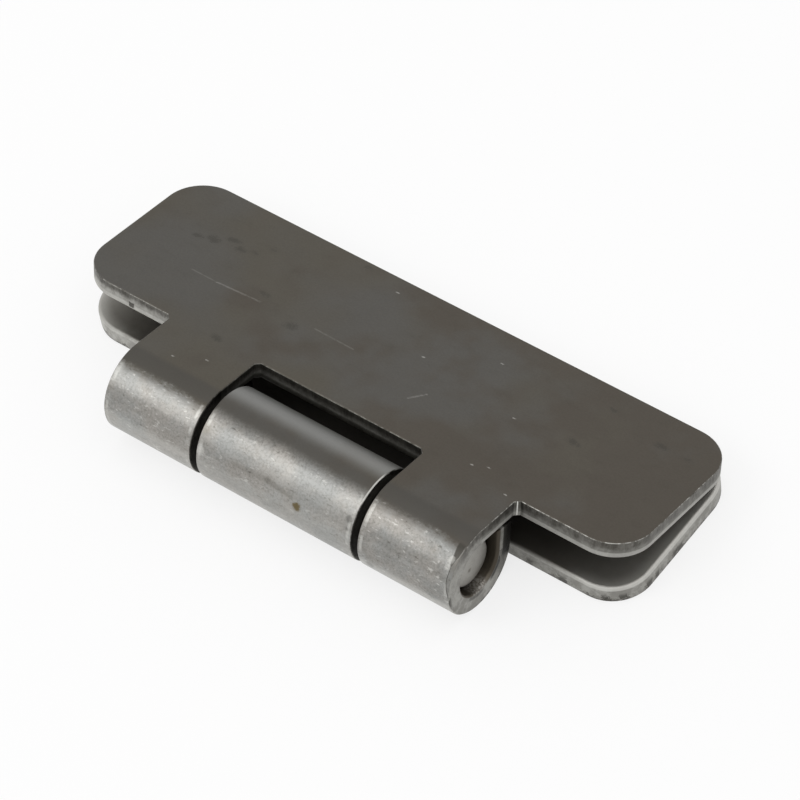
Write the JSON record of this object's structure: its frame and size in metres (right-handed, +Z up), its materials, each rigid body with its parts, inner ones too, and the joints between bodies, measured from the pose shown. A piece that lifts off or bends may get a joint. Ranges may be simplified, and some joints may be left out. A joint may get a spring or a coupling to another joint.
{
  "type": "loose pin butt hinge",
  "caption": "Bare steel weld-on butt hinge: flat leaves with round corners and interleaved rolled knuckles, turning on a plain headless pin that draws out lengthways.",
  "frame": {"origin": "middle of the lower leaf's outer face, half-way between the line under the pin and the back edge", "axes": "+X along the pin, +Y from the knuckles to the back edges of the closed leaves, +Z up, out of the face that the hinge lies on"},
  "size_m": [0.1, 0.0446, 0.0146],
  "materials": {
    "leaf_steel": "bare hot rolled sheet with a dull warm grey skin, rubbed bright on the knuckles, two-tone sheared edges",
    "pin_steel": "plain drawn rod, satin grey"
  },
  "bodies": {
    "lower_leaf": {"centre_knuckle_leaf": "leaf_steel"},
    "upper_leaf": {"outer_knuckle_leaf": "leaf_steel"},
    "pin": {"loose_pin": "pin_steel"}
  },
  "joints": [
    {"name": "leaf_hinge", "type": "hinge", "parent": "lower_leaf", "child": "upper_leaf", "pos_m": [0, -0.01835, 0.0073], "axis": [1, 0, 0], "range_deg": [0, 285]},
    {"name": "pin_withdrawal", "type": "slide", "parent": "lower_leaf", "child": "pin", "axis": [1, 0, 0], "range_m": [-0.063, 0.063]}
  ]
}
